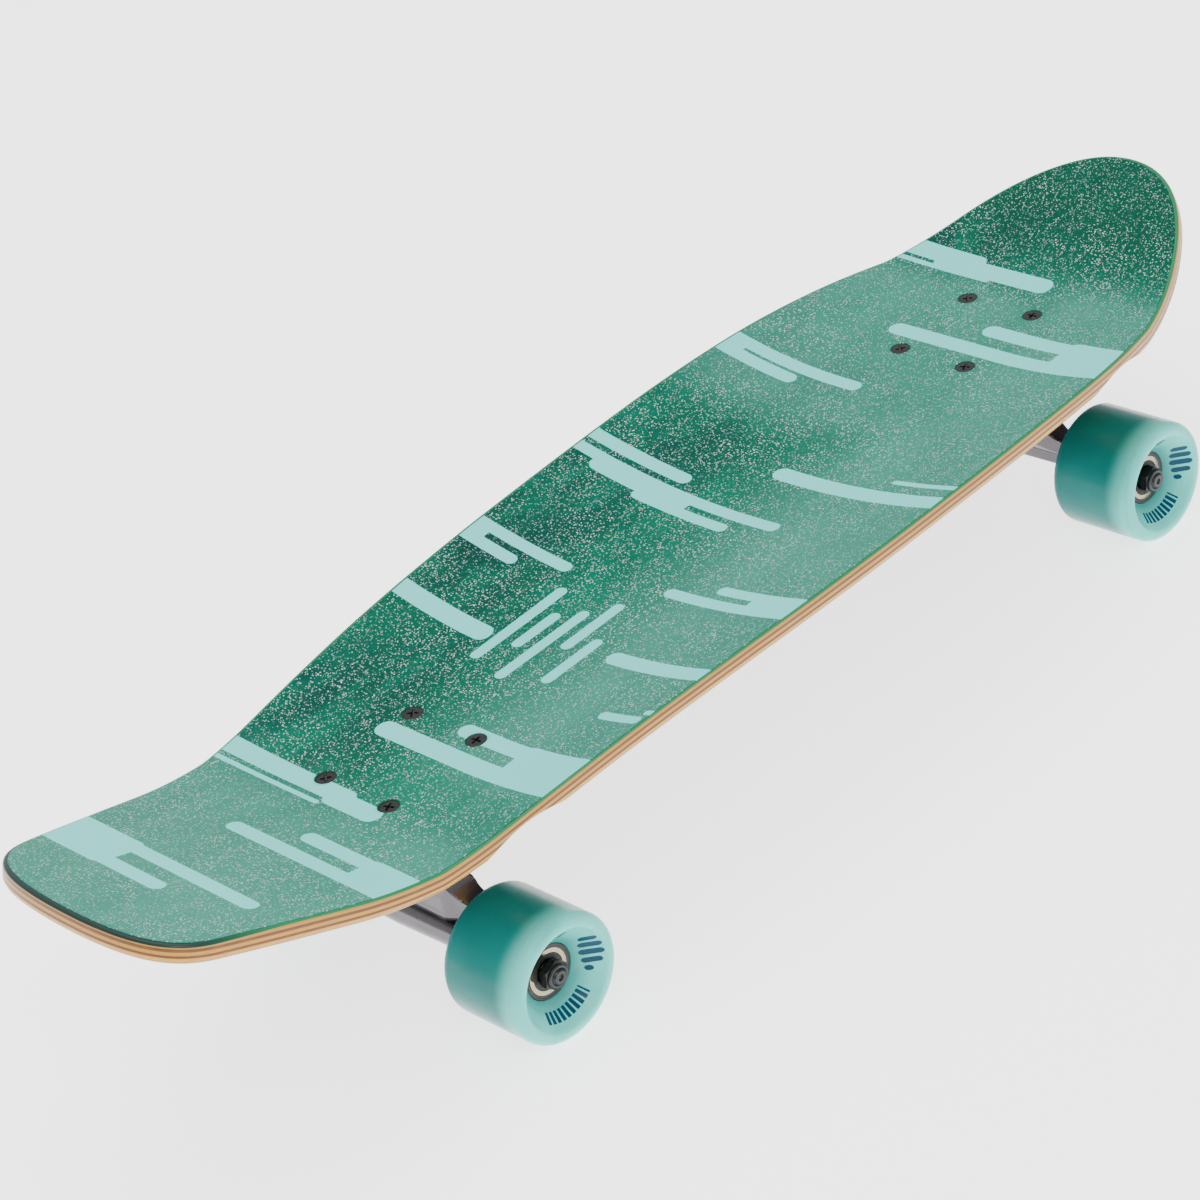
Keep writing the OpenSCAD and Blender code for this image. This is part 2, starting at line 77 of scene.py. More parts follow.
# ---------------------------------------------------------------- node helpers
class Nodes:
    """builds a material's node tree; a value may be a number, a colour or a socket"""

    def __init__(self, name):
        self.mat = bpy.data.materials.new(name)
        self.mat.use_nodes = True
        self.t = self.mat.node_tree
        self.t.nodes.clear()
        self.out = self.t.nodes.new("ShaderNodeOutputMaterial")
        self.bsdf = self.t.nodes.new("ShaderNodeBsdfPrincipled")
        self.t.links.new(self.bsdf.outputs[0], self.out.inputs[0])

    def put(self, socket, v):
        if hasattr(v, "is_linked"):
            self.t.links.new(v, socket)
        else:
            socket.default_value = v

    def set(self, **kw):
        for k, v in kw.items():
            self.put(self.bsdf.inputs[k.replace("_", " ")], v)
        return self

    def math(self, op, a, b=0.0):
        n = self.t.nodes.new("ShaderNodeMath")
        n.operation = op
        self.put(n.inputs[0], a)
        self.put(n.inputs[1], b)
        return n.outputs[0]

    def coords(self):
        n = self.t.nodes.new("ShaderNodeTexCoord")
        return n.outputs["Object"]

    def mapping(self, v, scale, loc=(0, 0, 0)):
        n = self.t.nodes.new("ShaderNodeMapping")
        self.put(n.inputs[0], v)
        n.inputs["Location"].default_value = loc
        n.inputs["Scale"].default_value = scale
        return n.outputs[0]

    def noise(self, v, scale, detail, rough, distort=0.0):
        n = self.t.nodes.new("ShaderNodeTexNoise")
        self.put(n.inputs["Vector"], v)
        n.inputs["Scale"].default_value = scale
        n.inputs["Detail"].default_value = detail
        n.inputs["Roughness"].default_value = rough
        n.inputs["Distortion"].default_value = distort
        return n.outputs["Fac"]

    def voronoi(self, v, scale):
        n = self.t.nodes.new("ShaderNodeTexVoronoi")
        self.put(n.inputs["Vector"], v)
        n.inputs["Scale"].default_value = scale
        return n

    def ramp(self, fac, stops):
        n = self.t.nodes.new("ShaderNodeValToRGB")
        e = n.color_ramp.elements
        while len(e) > 1:
            e.remove(e[-1])
        e[0].position, e[0].color = stops[0][0], col(stops[0][1])
        for p, c in stops[1:]:
            x = e.new(p)
            x.color = col(c)
        self.put(n.inputs[0], fac)
        return n.outputs[0]

    def mix(self, fac, a, b, mode="MIX"):
        n = self.t.nodes.new("ShaderNodeMix")
        n.data_type = "RGBA"
        n.blend_type = mode
        self.put(n.inputs[0], fac)
        self.put(n.inputs[6], col(a) if isinstance(a, tuple) else a)
        self.put(n.inputs[7], col(b) if isinstance(b, tuple) else b)
        return n.outputs[2]

    def step(self, v, lo, hi, a=0.0, b=1.0):
        n = self.t.nodes.new("ShaderNodeMapRange")
        n.interpolation_type = "SMOOTHSTEP"
        self.put(n.inputs[0], v)
        n.inputs[1].default_value = lo
        n.inputs[2].default_value = hi
        n.inputs[3].default_value = a
        n.inputs[4].default_value = b
        return n.outputs[0]

    def bump(self, height, strength, dist):
        n = self.t.nodes.new("ShaderNodeBump")
        n.inputs["Strength"].default_value = strength
        n.inputs["Distance"].default_value = dist
        self.put(n.inputs["Height"], height)
        self.t.links.new(n.outputs[0], self.bsdf.inputs["Normal"])

    def split(self, v):
        n = self.t.nodes.new("ShaderNodeSeparateXYZ")
        self.put(n.inputs[0], v)
        return n.outputs

    def attr(self, name):
        n = self.t.nodes.new("ShaderNodeAttribute")
        n.attribute_name = name
        return n.outputs["Fac"]


def lin(c):
    """one sRGB channel, 0-255, to linear 0-1"""
    c = c / 255.0
    return c / 12.92 if c <= 0.04045 else ((c + 0.055) / 1.055) ** 2.4


def col(c):
    """sRGB 0-255 triple to a linear colour"""
    return (lin(c[0]), lin(c[1]), lin(c[2]), 1.0)


# ---------------------------------------------------------------- mesh helpers
WELD = 1e-7
HEX_SEGMENTS = 72
# a hexagon's corners are turned down outside this share of half its width across flats
HEX_ROUND, HEX_DROP = 0.97, 0.55
LATHE_CREASE, HEX_CREASE, BOLT_CREASE = 40, 28, 30


def make(name, verts, faces, mat, smooth=True):
    """a mesh object with its faces turned outwards"""
    me = bpy.data.meshes.new(name)
    me.from_pydata([tuple(v) for v in verts], [], [tuple(f) for f in faces])
    me.validate()
    me.update()
    ob = bpy.data.objects.new(name, me)
    bpy.context.scene.collection.objects.link(ob)
    if mat is not None:
        me.materials.append(mat)
    bm = bmesh.new()
    bm.from_mesh(me)
    bmesh.ops.recalc_face_normals(bm, faces=bm.faces)
    bm.to_mesh(me)
    bm.free()
    if smooth:
        me.polygons.foreach_set("use_smooth", [True] * len(me.polygons))
    return ob


def sharpen(ob, deg):
    """marks edges over the angle as sharp, so smooth shading keeps them crisp"""
    bm = bmesh.new()
    bm.from_mesh(ob.data)
    for e in bm.edges:
        if len(e.link_faces) == 2:
            e.smooth = e.calc_face_angle(0) < math.radians(deg)
    bm.to_mesh(ob.data)
    bm.free()
    return ob


def frame_of(origin, axis, side):
    """matrix with local Z along axis and local X as near as may be to side"""
    z = Vector(axis).normalized()
    x = Vector(side).normalized()
    y = z.cross(x).normalized()
    x = y.cross(z).normalized()
    m = Matrix((x, y, z)).transposed().to_4x4()
    m.translation = Vector(origin)
    return m


def lathe(name, profile, mat, m, seg=96, closed=True):
    """turns a closed (r, z) outline about local Z, millimetres"""
    n = len(profile)
    verts, faces = [], []
    for k in range(seg):
        a = 2 * math.pi * k / seg
        for r, z in profile:
            verts.append(m @ Vector((r * math.cos(a) * MM, r * math.sin(a) * MM, z * MM)))
    for k in range(seg):
        j = (k + 1) % seg
        for i in range(n if closed else n - 1):
            q = (i + 1) % n
            faces.append((k * n + i, j * n + i, j * n + q, k * n + q))
    ob = make(name, verts, faces, mat)
    weld(ob)
    return sharpen(ob, LATHE_CREASE)


def weld(ob):
    """merges the points that meet on a turned shape's axis or seam"""
    bm = bmesh.new()
    bm.from_mesh(ob.data)
    bmesh.ops.remove_doubles(bm, verts=bm.verts, dist=WELD)
    bmesh.ops.dissolve_degenerate(bm, edges=bm.edges, dist=WELD)
    bmesh.ops.recalc_face_normals(bm, faces=bm.faces)
    bm.to_mesh(ob.data)
    bm.free()
    ob.data.polygons.foreach_set("use_smooth", [True] * len(ob.data.polygons))


def arc(cx, cz, r, a0, a1, n):
    """points of an arc from angle a0 to a1, degrees"""
    return [(cx + r * math.cos(math.radians(a0 + (a1 - a0) * i / n)),
             cz + r * math.sin(math.radians(a0 + (a1 - a0) * i / n))) for i in range(n + 1)]


def dress(node, mat):
    """a CAD node that is kept as it is gets its material"""
    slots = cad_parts[node].data.materials
    slots.clear()
    slots.append(mat)


def join(name, obs):
    bpy.ops.object.select_all(action="DESELECT")
    for o in obs:
        o.select_set(True)
    bpy.context.view_layer.objects.active = obs[0]
    bpy.ops.object.join()
    obs[0].name = name
    obs[0].data.name = name
    return obs[0]


def hexagon(name, across, h, hole, mat, m, cap=None):
    """chamfered hexagon with a hole, local z 0..h; cap = (radius, height) round collar on top"""
    ap = across / 2
    verts, faces = [], []
    rc = ap * HEX_ROUND
    rings = []
    for k in range(HEX_SEGMENTS):
        a = 2 * math.pi * k / HEX_SEGMENTS
        b = (a % (math.pi / 3)) - math.pi / 6
        rh = ap / math.cos(b)
        drop = max(0.0, rh - rc) * HEX_DROP
        prof = [(hole, 0.0), (rc, 0.0), (rh, drop), (rh, h - drop), (rc, h)]
        if cap:
            prof += [(cap[0], h), (cap[0], h + cap[1] * 0.6), (cap[0] - 0.6, h + cap[1]),
                     (hole + 0.3, h + cap[1]), (hole, h + cap[1] - 0.3)]
        else:
            prof += [(hole + 0.3, h), (hole, h - 0.3)]
        rings.append([(r * math.cos(a), r * math.sin(a), z) for r, z in prof])
    n = len(rings[0])
    for r in rings:
        verts += [m @ (Vector(p) * MM) for p in r]
    for k in range(HEX_SEGMENTS):
        j = (k + 1) % HEX_SEGMENTS
        for i in range(n):
            q = (i + 1) % n
            faces.append((k * n + i, j * n + i, j * n + q, k * n + q))
    ob = make(name, verts, faces, mat)
    weld(ob)
    return sharpen(ob, HEX_CREASE)


def soften(node, name, voxel, iters, mat):
    """a cast or moulded copy of a CAD node: the same form with rounded corners"""
    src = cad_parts[node]
    me = src.data.copy()
    me.materials.clear()
    ob = bpy.data.objects.new(name, me)
    bpy.context.scene.collection.objects.link(ob)
    r = ob.modifiers.new("voxels", "REMESH")
    r.mode = "VOXEL"
    r.voxel_size = voxel * MM
    r.adaptivity = 0.0
    s = ob.modifiers.new("soft", "SMOOTH")
    s.factor = 0.5
    s.iterations = iters
    dg = bpy.context.evaluated_depsgraph_get()
    done = bpy.data.meshes.new_from_object(ob.evaluated_get(dg))
    ob.modifiers.clear()
    ob.data = done
    done.name = name
    done.materials.clear()
    done.materials.append(mat)
    done.polygons.foreach_set("use_smooth", [True] * len(done.polygons))
    return ob


# ---------------------------------------------------------------- materials
def m_cast(name, tone, rough):
    """cast metal, polished: fine grain, cloudy tone and long scratches"""
    n = Nodes(name)
    v = n.coords()
    fine = n.noise(v, 1400, 3, 0.5)
    wide = n.noise(v, 35, 3, 0.5)
    scratch = n.noise(n.mapping(v, (2600, 90, 2600)), 1.0, 2, 0.6)
    c = n.mix(n.step(wide, 0.35, 0.7), tuple(int(x * 0.9) for x in tone), tone)
    c = n.mix(n.math("MULTIPLY", n.step(scratch, 0.6, 0.8), 0.25), c, (150, 148, 150))
    r = n.math("ADD", n.math("MULTIPLY", fine, 0.05), n.math("MULTIPLY", scratch, 0.1))
    n.set(Base_Color=c, Metallic=1.0, Roughness=n.math("ADD", r, rough - 0.06))
    n.bump(n.math("ADD", n.math("MULTIPLY", wide, 1.5), n.math("MULTIPLY", fine, 0.3)),
           0.06, 0.0004)
    return n.mat


def m_steel(name, tone=(205, 206, 210), rough=0.2):
    n = Nodes(name)
    v = n.coords()
    # fine turning marks
    lines = n.noise(n.mapping(v, (900, 40, 900)), 1.0, 2, 0.5)
    spots = n.noise(v, 400, 3, 0.5)
    c = n.mix(n.math("MULTIPLY", spots, 0.3), tone, tuple(int(x * 0.6) for x in tone))
    n.set(Base_Color=c, Metallic=1.0,
          Roughness=n.math("ADD", n.math("MULTIPLY", lines, 0.2), rough - 0.08))
    n.bump(lines, 0.12, 0.0002)
    return n.mat


def m_black(name, tone, rough, metal=0.0):
    n = Nodes(name)
    v = n.coords()
    fine = n.noise(v, 1500, 3, 0.6)
    wear = n.noise(v, 260, 4, 0.6)
    c = n.mix(n.step(wear, 0.6, 0.78), tone, tuple(x + 34 for x in tone))
    n.set(Base_Color=c, Metallic=metal,
          Roughness=n.math("ADD", n.math("MULTIPLY", fine, 0.25), rough - 0.1))
    n.bump(fine, 0.25, 0.0003)
    return n.mat


def m_rubber(name, tone):
    n = Nodes(name)
    v = n.coords()
    fine = n.noise(v, 1100, 4, 0.65)
    dust = n.noise(v, 90, 3, 0.5)
    c = n.mix(n.math("MULTIPLY", n.step(dust, 0.4, 0.8), 0.35), tone, (70, 70, 70))
    n.set(Base_Color=c, Roughness=n.math("ADD", n.math("MULTIPLY", fine, 0.25), 0.45))
    n.bump(fine, 0.4, 0.0004)
    return n.mat


cast = m_cast("polished_casting", (100, 97, 101), 0.2)
bright = m_steel("ground_steel")
ring_steel = m_steel("ring_steel", (158, 147, 122), 0.12)
plate_steel = m_steel("plated_washer", (176, 176, 178), 0.26)
blacked = m_black("black_oxide", (21, 21, 23), 0.3, 0.35)
core_black = m_black("core_plastic", (15, 15, 16), 0.42)
seal_black = m_rubber("seal_rubber", (12, 12, 13))
pad_rubber = m_rubber("riser_rubber", (22, 22, 23))
cage_mat = m_black("cage_plastic", (128, 104, 70), 0.4)
bush_mat = m_black("bushing_urethane", (26, 27, 29), 0.3)


def m_urethane():
    """cloudy, glossy urethane that lets a little light in, with painted light: paler towards the
    outer lip where light shines through
    """
    n = Nodes("wheel_urethane")
    v = n.coords()
    # place on the wheel in millimetres: along the board, up, outboard
    w = n.t.nodes.new("ShaderNodeAttribute")
    w.attribute_name = "on_wheel"
    lx, lz, ly = n.split(w.outputs["Vector"])
    swirl = n.noise(n.mapping(v, (1.0, 0.35, 1.0)), 26, 3, 0.5, 0.6)
    fine = n.noise(v, 700, 3, 0.5)
    body = n.mix(n.step(swirl, 0.3, 0.75), (8, 106, 101), (22, 126, 120))
    lip = n.mix(n.step(swirl, 0.3, 0.75), (84, 190, 180), (104, 204, 194))
    # painted light: the outer lip is painted paler, standing in for light shining through the thin
    # urethane
    c = n.mix(n.step(ly, 8.0, 20.5), body, lip)
    worn = n.noise(n.mapping(v, (8, 140, 8)), 4.0, 2, 0.5)
    c = n.mix(n.math("MULTIPLY", n.step(worn, 0.52, 0.72), 0.12), c, (6, 96, 92))

    r = n.math("SQRT", n.math("ADD", n.math("MULTIPLY", lx, lx), n.math("MULTIPLY", lz, lz)))
    turn = n.math("DEGREES", n.math("ARCTAN2", lz, lx))

    def between(a, lo, hi, soft):
        return n.math("MULTIPLY", n.step(a, lo - soft, lo + soft),
                      n.step(a, hi - soft, hi + soft, 1, 0))

    def bar(x0, x1, z0, half):
        d = n.math("ABSOLUTE", n.math("SUBTRACT", lx, (x0 + x1) / 2))
        d = n.math("MAXIMUM", n.math("SUBTRACT", d, (x1 - x0) / 2 - half), 0.0)
        e = n.math("SUBTRACT", lz, z0)
        q = n.math("SQRT", n.math("ADD", n.math("MULTIPLY", d, d), n.math("MULTIPLY", e, e)))
        return n.step(q, half - 0.15, half + 0.15, 1.0, 0.0)

    # plain printed marks: a row of blocks above and below the hub, bars beside it
    ring = between(r, 17.2, 21.4, 0.12)
    fan = n.math("ADD", between(turn, 62, 128, 0.3), between(turn, -128, -52, 0.3))
    blocks = n.step(n.math("PINGPONG", turn, 4.0), 1.1, 1.4)
    marks = n.math("MULTIPLY", n.math("MULTIPLY", ring, fan), blocks)
    for b in ((15.9, 22.0, 8.0, 1.4), (16.0, 23.6, 4.0, 1.5), (16.0, 24.0, -0.2, 1.5),
              (16.0, 22.8, -4.4, 1.3), (15.9, 18.9, -8.0, 1.2)):
        marks = n.math("MAXIMUM", marks, bar(*b))
    marks = n.math("MULTIPLY", marks, n.step(ly, 12.0, 12.6))
    marks = n.math("MULTIPLY", marks, n.step(r, 24.2, 24.4, 1.0, 0.0))
    c = n.mix(marks, c, (0, 60, 82))
    n.set(Base_Color=c,
          Roughness=n.math("ADD", n.math("MULTIPLY", fine, 0.08), 0.2),
          Subsurface_Weight=0.35, Subsurface_Radius=(0.4, 1.0, 0.95), Subsurface_Scale=0.005,
          Specular_IOR_Level=0.14, Coat_Weight=0.03, Coat_Roughness=0.1)
    n.bump(n.math("ADD", n.math("MULTIPLY", swirl, 1.4), n.math("MULTIPLY", fine, 0.15)),
           0.1, 0.0005)
    return n.mat


urethane = m_urethane()

# ---------------------------------------------------------------- deck surface
TAIL_START, TAIL_R, TAIL_A = 215.0, 219.0, 20.1
NOSE_START, NOSE_R, NOSE_A = 234.0, 150.0, 18.5
CONCAVE, NOSE_RIM = 12.6, 1.8
FADE_START, TAIL_FADE, NOSE_FADE = 60.0, 188.0, 177.0
FLAT_HALF, FLAT_START, FLAT_RUN = 30.0, 50.0, 105.0
ROCKER, ROCKER_START, ROCKER_RUN = 1.2, 60.0, 98.0
WIDEST_X, WAIST_W = 80.0, 99.0
RIM_MAX = 100.3
EDGE_TOP_R, EDGE_LOW_R = 1.5, 3.5
# how far in from the rim the flat skins above and below begin
ABOVE_IN, BELOW_IN = 3.5, 4.5


def smooth(t):
    """eased step from 0 to 1"""
    t = np.clip(t, 0, 1)
    return t * t * (3 - 2 * t)


def kick(x):
    """height and slope of the kicked ends, x from the middle of the wheelbase"""
    a = np.radians(np.where(x < 0, TAIL_A, NOSE_A))
    rad = np.where(x < 0, TAIL_R, NOSE_R)
    s = np.maximum(0, np.abs(x) - np.where(x < 0, TAIL_START, NOSE_START))
    bend = rad * np.sin(a)
    z = np.where(s < bend, rad - np.sqrt(np.maximum(rad ** 2 - np.minimum(s, bend) ** 2, 0)),
                 rad * (1 - np.cos(a)) + (s - bend) * np.tan(a))
    tilt = np.sign(x) * np.where(s < bend, np.arcsin(np.minimum(s, bend) / rad), a)
    return z, tilt


def top_z(x, y):
    """height of the top surface: kicked ends, a dish across and a slight rocker along"""
    half = WAIST_W - np.where(x < WIDEST_X, 0.00022, 0.00058) * (x - WIDEST_X) ** 2
    end = np.where(x < 0, 0.0, NOSE_RIM)
    fade = np.clip((np.abs(x) - FADE_START) / np.where(x < 0, TAIL_FADE, NOSE_FADE), 0, 1)
    rise = CONCAVE - (CONCAVE - end) * fade ** 1.6
    flat = FLAT_HALF * smooth((np.abs(x) - FLAT_START) / FLAT_RUN)
    dish = rise * (np.maximum(0, np.abs(y) - flat) / (half - flat)) ** 2
    return kick(x)[0] + dish - ROCKER * (1 - smooth((np.abs(x) - ROCKER_START) / ROCKER_RUN))


def bez(p, n):
    """n points of a cubic curve, its last point left out"""
    t = (np.arange(n) / n)[:, None]
    p = [np.array(q, float) for q in p]
    return ((1 - t) ** 3 * p[0] + 3 * (1 - t) ** 2 * t * p[1] + 3 * (1 - t) * t * t * p[2]
            + t ** 3 * p[3])


def outline(density):
    """the rim seen from above, and how many of its points are on the left half"""
    segs = [([[-379.5, 0], [-379.5, 48], [-369, 61.3], [-350, 64.7]], 24),
            ([[-350, 64.7], [-299, 74.1], [-94, RIM_MAX], [WIDEST_X, RIM_MAX]], 90),
            ([[WIDEST_X, RIM_MAX], [124, RIM_MAX], [174.5, 98], [212, 90.3]], 30),
            ([[212, 90.3], [264, 79.6], [341, 53], [341, 0]], 48)]
    half = np.concatenate([bez(s, int(n * density)) for s, n in segs] + [np.array([[341.0, 0.0]])])
    low = half[1:-1][::-1] * np.array([1, -1])
    return np.concatenate([half, low]), len(half)


def inset(rim, d):
    """the rim moved inwards by d"""
    t = np.roll(rim, -1, 0) - np.roll(rim, 1, 0)
    t /= np.linalg.norm(t, axis=1)[:, None]
    return rim - d * np.stack([-t[:, 1], t[:, 0]], 1)


def place(p, depth):
    """points at a depth below the top surface, in row millimetres"""
    tilt = kick(p[:, 0])[1]
    return np.stack([p[:, 0] + depth * np.sin(tilt) + MID_X, p[:, 1],
                     DECK_Z + top_z(p[:, 0], p[:, 1]) - depth * np.cos(tilt)], 1)


# hollows over the wheels: middle along the board, cutter radius, the rim's distance out
WELLS = ((-201.0, 58.0, 83.0), (200.0, 72.0, 91.0))
WELL_START, WELL_RISE, WELL_REACH = 48.0, 10.0, 40.0
NO_WELL, WELL_SKIN = -1e3, 2.0


def well_z(x, y):
    """height of the milled hollows over the wheels; low where there is none"""
    best = np.full(x.shape, NO_WELL)
    for cx, r, rim_y in WELLS:
        slope = WELL_RISE / (rim_y - WELL_START)
        dx = x - MID_X - cx
        # the cutter leans, so its height is measured square to its own axis
        h = (np.sqrt(np.maximum(r ** 2 - dx ** 2, 0)) - r) * math.hypot(1, slope)
        z = DECK_Z - DECK_T + (np.abs(y) - WELL_START) * slope + h
        best = np.where(np.abs(dx) < WELL_REACH, np.maximum(best, z), best)
    return best


def shell(name, rings, half_n, mat):
    """closed skin through rings of points; both end rings are closed across the board"""
    n = len(rings[0])
    verts = np.concatenate(rings) * MM
    faces = []
    for k in range(len(rings) - 1):
        for i in range(n):
            j = (i + 1) % n
            faces.append((k * n + i, k * n + j, (k + 1) * n + j, (k + 1) * n + i))
    for base in (0, (len(rings) - 1) * n):
        for i in range(half_n - 1):
            a, b, c, d = i, i + 1, (n - i - 1) % n, (n - i) % n
            f = []
            for q in (a, d, c, b):
                if base + q not in f:
                    f.append(base + q)
            if len(f) >= 3:
                faces.append(tuple(f))
    return make(name, verts, faces, mat)


RIM, HALF_N = outline(1.6)
SPINE_TAIL, SPINE_NOSE = -318.0, 252.0
BASE = inset(RIM, BELOW_IN)
SPINE = np.stack([np.clip(BASE[:, 0], SPINE_TAIL, SPINE_NOSE), np.zeros(len(BASE))], 1)


def inner(f):
    """ring of points a share f of the way from the spine out to the edge"""
    return SPINE + f * (BASE - SPINE)


# the flat skins' rings, as shares of the way from the spine to the edge
FS = [0.03, 0.08, 0.14, 0.2, 0.26, 0.32, 0.38, 0.44, 0.5, 0.56, 0.62, 0.68, 0.74, 0.8, 0.86,
      0.92, 0.97]


def plies():
    """ply colours down through the board, painted by depth, with grain along the board"""
    n = Nodes("maple_plies")
    v = n.coords()
    d = n.attr("depth")
    x = n.split(v)[0]
    wob = n.noise(n.mapping(v, (7, 7, 7)), 1.0, 2, 0.5)
    dd = n.math("ADD", d, n.math("MULTIPLY", n.math("SUBTRACT", wob, 0.5), 0.25))
    k = n.math("DIVIDE", dd, DECK_T)
    wood = n.ramp(k, [
        (0.0, (186, 140, 58)), (0.19, (176, 128, 48)), (0.22, (96, 54, 6)),
        (0.34, (112, 66, 12)), (0.38, (188, 138, 48)), (0.5, (180, 128, 42)),
        (0.53, (96, 54, 8)), (0.62, (112, 66, 14)), (0.66, (198, 148, 56)),
        (0.8, (192, 144, 58)), (0.83, (124, 80, 22)), (0.88, (192, 152, 76)),
        (1.0, (198, 164, 96))])
    tail = n.step(x, (MID_X - 365) * MM, (MID_X - 315) * MM, 1.0, 0.0)
    green = n.mix(tail, (0, 122, 76), (0, 44, 38))
    line = n.math("ADD", n.math("MULTIPLY", tail, 0.09), 0.055)
    tone = n.mix(n.step(n.math("SUBTRACT", k, line), -0.012, 0.012, 0.0, 1.0), green, wood)
    # the flat underside is coloured dark, in cloudy patches; this also darkens its reflection in
    # the treads
    under = n.step(d, DECK_T - 0.14, DECK_T - 0.02)
    underside_dark = n.mix(n.step(n.noise(v, 14, 4, 0.6, 0.4), 0.35, 0.7), (30, 25, 33), (46, 40, 50))
    tone = n.mix(under, tone, underside_dark)
    grain = n.noise(n.mapping(v, (18, 700, 700)), 1.0, 4, 0.6)
    streak = n.noise(n.mapping(v, (5, 130, 900)), 1.0, 3, 0.5, 0.4)
    bare = n.math("MULTIPLY", n.step(k, 0.09, 0.12), n.math("SUBTRACT", 1.0, under))
    c = n.mix(n.math("MULTIPLY", n.math("MULTIPLY", n.step(grain, 0.45, 0.75), 0.2), bare),
              tone, (150, 100, 50), "MULTIPLY")
    c = n.mix(n.math("MULTIPLY", n.math("MULTIPLY", n.step(streak, 0.5, 0.7), 0.2), bare), c,
              (150, 96, 50))
    fibre = n.noise(n.mapping(v, (30, 1500, 1500)), 1.0, 3, 0.6)
    n.set(Base_Color=c, Roughness=n.math("ADD", n.math("MULTIPLY", grain, 0.2), 0.3),
          Specular_IOR_Level=0.3, Coat_Weight=0.12, Coat_Roughness=0.15)
    n.bump(n.math("ADD", grain, n.math("MULTIPLY", fibre, 0.4)), 0.2, 0.0004)
    return n.mat


ply_mat = plies()
# the rim's section from the top down: distance in from the rim, depth
edge_prof = [(ABOVE_IN, 0.0), (2.4, 0.0)]
edge_prof += [(EDGE_TOP_R - EDGE_TOP_R * math.sin(math.radians(a)),
               EDGE_TOP_R - EDGE_TOP_R * math.cos(math.radians(a))) for a in (0, 22, 45, 67, 90)]
edge_prof += [(0.0, 2.4), (0.0, 3.4), (0.0, 4.4), (0.0, 5.3)]
edge_prof += [(EDGE_LOW_R - EDGE_LOW_R * math.cos(math.radians(a)),
               DECK_T - EDGE_LOW_R + EDGE_LOW_R * math.sin(math.radians(a)))
              for a in (0, 18, 36, 54, 72, 90)]
edge_prof += [(BELOW_IN, DECK_T)]
rings = [place(inner(f), 0.0) for f in FS]
depths = [np.zeros(len(RIM)) for f in FS]
for ins, dep in edge_prof:
    rings.append(place(inset(RIM, ins), dep))
    depths.append(np.full(len(RIM), dep))
for f in reversed(FS):
    rings.append(place(inner(f), DECK_T))
    depths.append(np.full(len(RIM), DECK_T))
# hollows over the wheels, cut up into the underside but not into the top of the rim
for i in range(len(FS), len(rings)):
    r = rings[i]
    w = well_z(r[:, 0], r[:, 1])
    up = np.maximum(r[:, 2], np.minimum(w, r[:, 2] + np.maximum(0, depths[i] - WELL_SKIN)))
    depths[i] = depths[i] - (up - r[:, 2])
    r[:, 2] = up
deck = shell("deck_board", rings, HALF_N, ply_mat)
att = deck.data.attributes.new("depth", "FLOAT", "POINT")
att.data.foreach_set("value", np.concatenate(depths))


# ---------------------------------------------------------------- printed top
# plain stripes across the board: x from, x to, y from, y to (millimetres from mid wheelbase,
# + y is the left rim); a stripe whose y runs past the rim simply ends at the edge
RIM_Y, STRIPE_ROUND = 120.0, 5.0
STRIPES = [
    (248.3, 260, 32, RIM_Y), (242.5, 245.8, 21, RIM_Y), (244.5, 256, -14, 60),
    (182, 192, -RIM_Y, 39), (200, 210, -RIM_Y, -7), (184, 212, -RIM_Y, -58),
    (120, 128, 49, RIM_Y), (130, 138, 15, RIM_Y), (120, 138, 86, RIM_Y),
    (52, 62, -RIM_Y, 4), (69, 72.4, -RIM_Y, -59),
    (26, 34, 35, RIM_Y),
    (15, 22, -32, RIM_Y), (9, 20, 48, 84), (4.5, 11, -8, 52), (5, 20, 22, 50),
    (-48.5, -41.5, -RIM_Y, -18), (-37.5, -31, -RIM_Y, -42), (-48.5, -31, -RIM_Y, -66),
    (-101, -92, -RIM_Y, -30),
    (-136.5, -131, -87, -61), (-129.5, -126, -RIM_Y, -84),
    (-68.5, -61.5, 60, RIM_Y), (-57.5, -50.5, 35, RIM_Y), (-68.5, -50.5, 84, RIM_Y),
    (-117, -106, 32, RIM_Y),
    (-192, -181.5, -RIM_Y, 28), (-174, -165, -RIM_Y, -8), (-192, -164, -RIM_Y, -47),
    (-237.5, -227, -4, RIM_Y), (-243, -240.3, 8, RIM_Y), (-240.5, -229.5, -24, 10),
    (-281.5, -273.5, -RIM_Y, 24), (-267.5, -259.5, -RIM_Y, -8), (-281.5, -258.5, -RIM_Y, -48),
    (-326, -318, -50, RIM_Y), (-342, -334, -11, RIM_Y), (-343, -317, 26, RIM_Y),
]
# a plain block of short bars along the board
BARS = [(-128, -66, 24, 30), (-112, -82, 13, 19), (-134, -74, 2, 8), (-102, -62, -9, -3),
        (-126, -88, -20, -14)]


